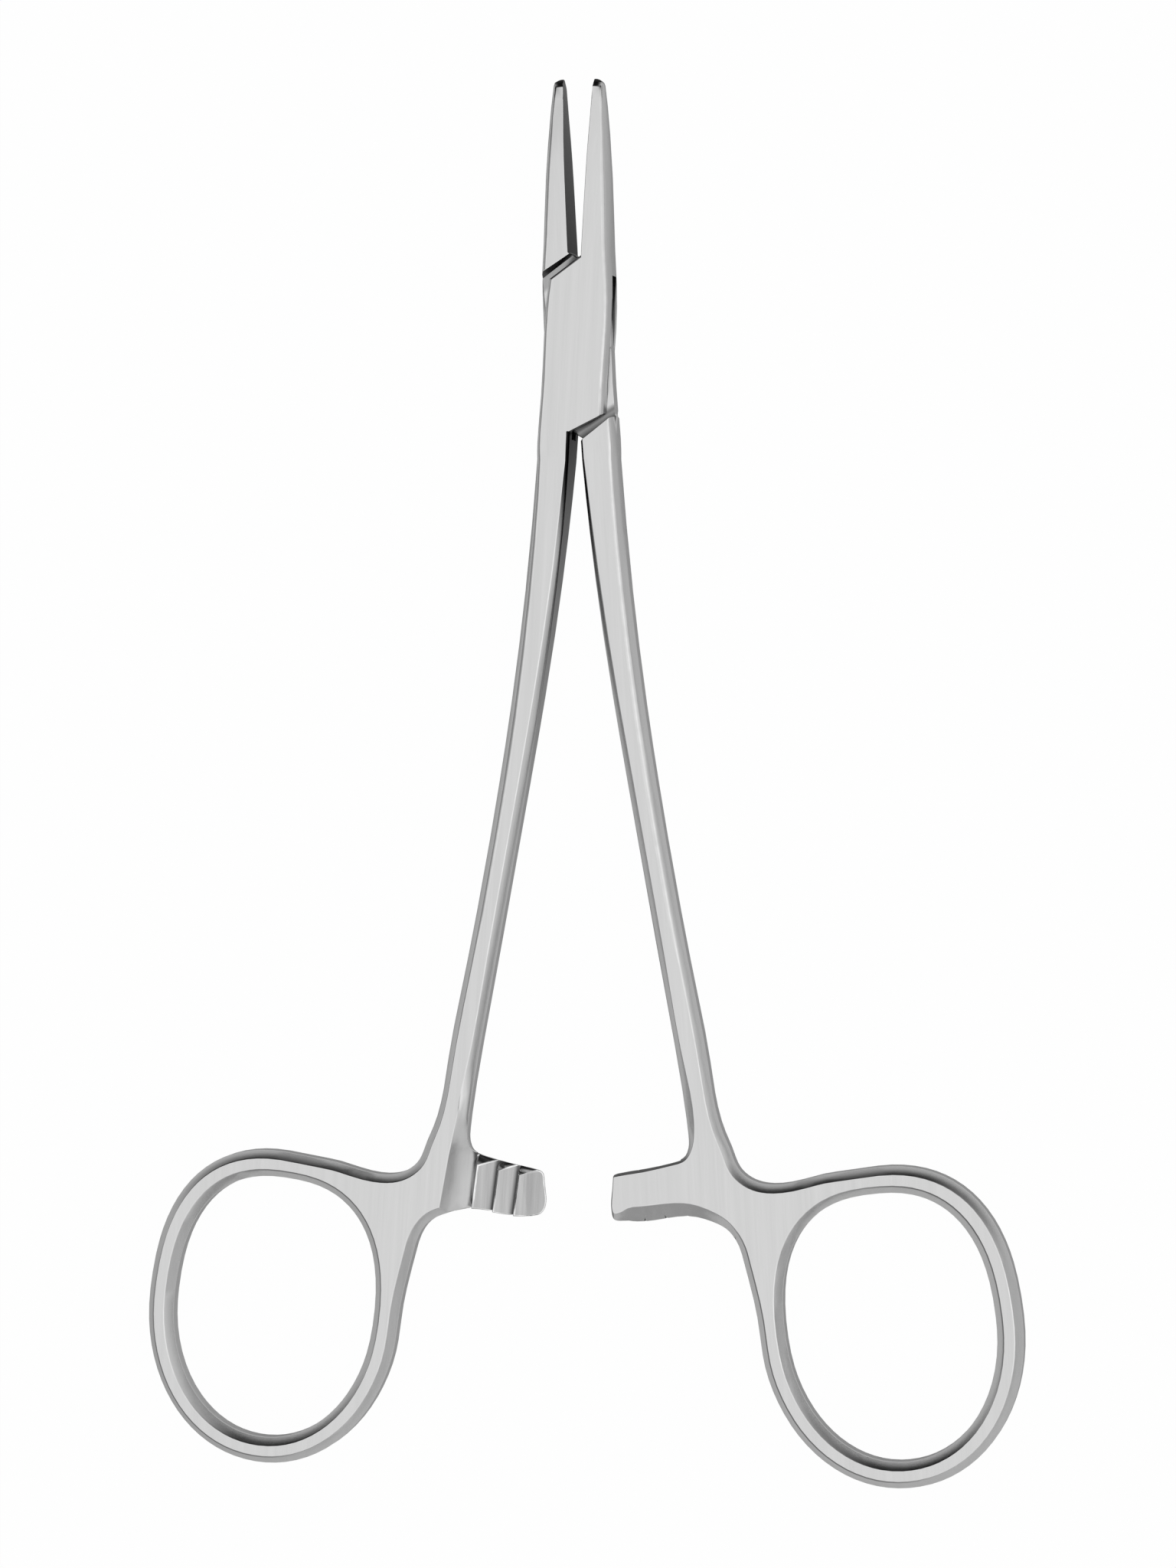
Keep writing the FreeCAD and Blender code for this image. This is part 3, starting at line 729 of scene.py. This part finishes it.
def refill(work, face):
    """Fill a flat face again with triangles that all lie the same way up."""
    across = face.normal.orthogonal().normalized()
    up = face.normal.cross(across)
    corners = list(face.verts)
    start = corners[0].co.copy()
    outline = [Vector(((v.co - start).dot(across), (v.co - start).dot(up))) / MM for v in corners]
    points, _, triangles, origins, _, _ = delaunay_2d_cdt(
        outline, [], [list(range(len(outline)))], INSIDE_ONLY, SAME_POINT)
    placed = [corners[source[0]] if source else work.verts.new(
        start + (across * point.x + up * point.y) * MM) for point, source in zip(points, origins)]
    for triangle in triangles:
        chosen = [placed[i] for i in triangle]
        if len(set(chosen)) == 3 and not work.faces.get(chosen):
            work.faces.new(chosen, face)
    work.faces.remove(face)


def unfold(mesh):
    """Refill the folded faces of a mesh, and say how many there were."""
    work = bmesh.new()
    work.from_mesh(mesh)
    folded = folded_faces(work)
    for face in folded:
        refill(work, face)
    work.to_mesh(mesh)
    work.free()
    return len(folded)


# %% [markdown]
# ## Rounding, and normals that keep the flats flat
# The Bevel modifier rounds the weighted edges with four faces across. Weighted normals then keep
# the large faces flat beside them, where plain smooth shading would make them look swollen. The
# modifiers' results are taken as plain meshes, and the rounded faces get their wear_and_sheen
# attribute.

# %% Round the edges of a piece

ROUND_FACES = 4
FLAT_WEIGHT = 90


def evaluated(piece):
    graph = bpy.context.evaluated_depsgraph_get()
    return bpy.data.meshes.new_from_object(piece.evaluated_get(graph))


def round_edges(piece):
    bevel = piece.modifiers.new("round", "BEVEL")
    bevel.limit_method = "WEIGHT"
    bevel.width = EDGE_ROUND
    bevel.segments = ROUND_FACES
    bevel.use_clamp_overlap = False
    bevel.material = 1
    bevel.face_strength_mode = "FSTR_ALL"
    piece.data = evaluated(piece)
    piece.modifiers.clear()
    return unfold(piece.data)


def keep_flats_flat(piece):
    flats = piece.modifiers.new("flats stay flat", "WEIGHTED_NORMAL")
    flats.weight = FLAT_WEIGHT
    flats.keep_sharp = True
    flats.use_face_influence = True
    plain = evaluated(piece)
    piece.modifiers.clear()
    piece.data = plain
    plain.name = piece.name


def mark_wear_and_sheen(mesh):
    """Turn the second slot into the wear_and_sheen attribute, and say how many faces have it."""
    rounded = [face.material_index for face in mesh.polygons]
    mesh.attributes.new(WEAR_AND_SHEEN, "FLOAT", "FACE").data.foreach_set("value", rounded)
    for face in mesh.polygons:
        face.material_index = 0
    mesh.materials.pop()
    return sum(rounded)


# %% [markdown]
# ## The three pieces
# Each dressed piece rides on the body of its CAD node and takes its place: the box half with the
# pin that is pressed into it, and the through half, which turns on that pin.

# %% Dress the two halves and the pin


def dressed(node, name, body, material):
    piece = copied(node, name, material)
    weld_and_weigh(piece.data, filed=node == "through_half")
    refilled = round_edges(piece)
    keep_flats_flat(piece)
    rounded = mark_wear_and_sheen(piece.data)
    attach(piece, body)
    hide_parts(node)
    print(name, "has", len(piece.data.polygons), "faces,", rounded, "of them on rounded edges,",
          refilled, "refilled")


dressed("box_half", "box_half_satin", "box_body", box_steel)
dressed("through_half", "through_half_satin", "through_body", through_steel)
dressed("pivot_pin", "pivot_pin_satin", "box_body", box_steel)

# %% [markdown]
# ## The floor
# The instrument lies on plain white paper. More light would make the paper white, but would burn
# out the steel as well. So the paper glows where the camera sees it, which makes it nearly pure
# white with a faint shadow. The steel mirrors it with less of that glow.

# %% The white paper

FLOOR_HALF = 2.0             # metres
PAPER_GREY = 0.62
GLOW_TO_EYE = 0.985
GLOW_IN_STEEL = 0.30


def white_paper():
    paper = bpy.data.materials.new("white_paper")
    paper.use_nodes = True
    tree = paper.node_tree
    tree.nodes.clear()
    diffuse = add_node(tree, "ShaderNodeBsdfDiffuse", "paper", {"Color": opaque(PAPER_GREY)})
    glow = add_node(tree, "ShaderNodeEmission", "white to the eye", {"Strength": 1.0})
    rays = add_node(tree, "ShaderNodeLightPath", "rays").outputs
    mirrored = work_out(tree, "glossy or transmission", "MAXIMUM", rays["Is Glossy Ray"],
                        rays["Is Transmission Ray"])
    in_steel = work_out(tree, "weaker in the steel", "MULTIPLY", mirrored, GLOW_IN_STEEL)
    to_eye = work_out(tree, "strong to the eye", "MULTIPLY", rays["Is Camera Ray"], GLOW_TO_EYE)
    glowing = work_out(tree, "share of glow", "MAXIMUM", to_eye, in_steel)
    mixed = add_node(tree, "ShaderNodeMixShader", "paper or glow",
                     {"Fac": glowing, 1: diffuse.outputs[0], 2: glow.outputs[0]})
    add_node(tree, "ShaderNodeOutputMaterial", "surface", {"Surface": mixed.outputs[0]})
    return paper


def white_floor():
    mesh = bpy.data.meshes.new("floor")
    corners = [(-FLOOR_HALF, -FLOOR_HALF, 0), (FLOOR_HALF, -FLOOR_HALF, 0),
               (FLOOR_HALF, FLOOR_HALF, 0), (-FLOOR_HALF, FLOOR_HALF, 0)]
    mesh.from_pydata(corners, [], [(0, 1, 2, 3)])
    floor = bpy.data.objects.new("floor", mesh)
    bpy.context.scene.collection.objects.link(floor)
    mesh.materials.append(white_paper())


white_floor()
print("floor", 2 * FLOOR_HALF, "m wide")

# %% [markdown]
# ## The world
# Small shiny things are photographed in a tent of white cloth, so that they mirror nothing but
# soft light. Lamps alone would leave the steel black between their reflections. The tent is
# brightest overhead and dimmer low down, which gives the lands, the bevels and the sides their
# different greys. It is dimmest beyond the jaws, and lighter on the right, where the lamp stands.
# The camera itself sees a white backdrop.

# %% How bright the tent is in each direction

OVERHEAD_LEVEL = 0.98
SIDE_LEVEL = 0.44
RIGHT_LEVEL = 0.85
BEYOND_JAWS, BEYOND_RINGS, ON_THE_LEFT = 0.34, 0.04, 0.12      # taken off the side level


def tent_level(tree):
    place = add_node(tree, "ShaderNodeTexCoord", "direction")
    x, y, z = add_node(tree, "ShaderNodeSeparateXYZ", "parts",
                       {0: place.outputs["Generated"]}).outputs
    overhead = span(tree, "overhead", z, 0.50, 0.88)
    low_right = work_out(tree, "side light", "MULTIPLY", span(tree, "to the right", x, 0.05, 0.55),
                         span(tree, "up", z, 0.0, 0.3))
    horizon = SIDE_LEVEL
    for name, axis, low, high, less in (
            ("dark beyond the jaws", y, 0.15, 0.7, BEYOND_JAWS),
            ("dim beyond the rings", y, -0.2, -0.8, BEYOND_RINGS),
            ("dim on the left", x, -0.2, -0.8, ON_THE_LEFT)):
        taken = work_out(tree, name + ", share", "MULTIPLY",
                         span(tree, name + ", where", axis, low, high), less)
        horizon = work_out(tree, name, "SUBTRACT", horizon, taken)
    sides = mix(tree, "sides", low_right, horizon, RIGHT_LEVEL, data_type="FLOAT")
    return mix(tree, "level", overhead, sides, OVERHEAD_LEVEL, data_type="FLOAT")


# %% The soft tent

WHITE = (1, 1, 1, 1)


def soft_tent():
    world = bpy.data.worlds.new("soft_tent")
    bpy.context.scene.world = world
    world.use_nodes = True
    tree = world.node_tree
    tree.nodes.clear()
    tent = add_node(tree, "ShaderNodeBackground", "tent",
                    {"Color": WHITE, "Strength": tent_level(tree)})
    backdrop = add_node(tree, "ShaderNodeBackground", "white backdrop", {"Color": WHITE})
    rays = add_node(tree, "ShaderNodeLightPath", "rays")
    mixed = add_node(tree, "ShaderNodeMixShader", "what the camera sees is white", {
        "Fac": rays.outputs["Is Camera Ray"], 1: tent.outputs[0], 2: backdrop.outputs[0]})
    add_node(tree, "ShaderNodeOutputWorld", "world", {"Surface": mixed.outputs[0]})
    print("tent with", len(tree.nodes), "nodes")


soft_tent()

# %% [markdown]
# ## The softbox
# The tent alone gives no direction to the light. One large, weak softbox on the right brightens
# the sides that face it, and throws the instrument's faint shadow to the left.

# %% The softbox on the right


def softbox(name, place, aim, width, height, power):
    lamp = bpy.data.lights.new(name, "AREA")
    lamp.shape = "RECTANGLE"
    lamp.size = width
    lamp.size_y = height
    lamp.energy = power
    box = bpy.data.objects.new(name, lamp)
    box.location = place
    box.rotation_mode = "QUATERNION"
    box.rotation_quaternion = (Vector(aim) - Vector(place)).to_track_quat("-Z", "Y")
    bpy.context.scene.collection.objects.link(box)
    print(name, "at", box.location[:], "with", power, "W")


softbox("right_side", (0.62, -0.15, 0.62), (0, -0.04, 0), width=0.35, height=0.7, power=0.22)

# %% [markdown]
# ## The camera
# The photograph was taken from almost straight above, a little from the right. Its place was
# fitted to the outline of the instrument: two angles, a small roll, a distance and the point it
# looks at. The focal length follows from the scale and the distance. The picture is upright, so
# Blender's sensor width spans its height.

# %% The camera, where the photograph was taken from

CAMERA_SIDE = math.radians(12.293)
CAMERA_UP = math.radians(1.877)
CAMERA_ROLL = math.radians(0.039)
CAMERA_DISTANCE = 413.58 * MM
CAMERA_TARGET = Vector((0.8285, -39.708, 2.2)) * MM
PIXELS_PER_MM = 14.3416
PHOTO_HEIGHT = 2048
SENSOR = 36.0
CLIP_NEAR, CLIP_FAR = 0.01, 10

back = Vector((math.sin(CAMERA_SIDE) * math.cos(CAMERA_UP), math.sin(CAMERA_UP),
               math.cos(CAMERA_SIDE) * math.cos(CAMERA_UP)))
right = Vector((0, 1, 0)).cross(back).normalized()
up = back.cross(right)
roll = Matrix.Rotation(CAMERA_ROLL, 3, back)
lens = bpy.data.cameras.new("camera")
lens.sensor_width = SENSOR
lens.lens = PIXELS_PER_MM * CAMERA_DISTANCE / MM / PHOTO_HEIGHT * SENSOR
lens.clip_start, lens.clip_end = CLIP_NEAR, CLIP_FAR
camera = bpy.data.objects.new("camera", lens)
camera.matrix_world = Matrix.Translation(CAMERA_TARGET + back * CAMERA_DISTANCE) @ Matrix(
    (roll @ right, roll @ up, back)).transposed().to_4x4()
bpy.context.scene.collection.objects.link(camera)
bpy.context.scene.camera = camera
bpy.context.scene.view_settings.view_transform = "Standard"
print("lens", round(lens.lens, 2), "mm")
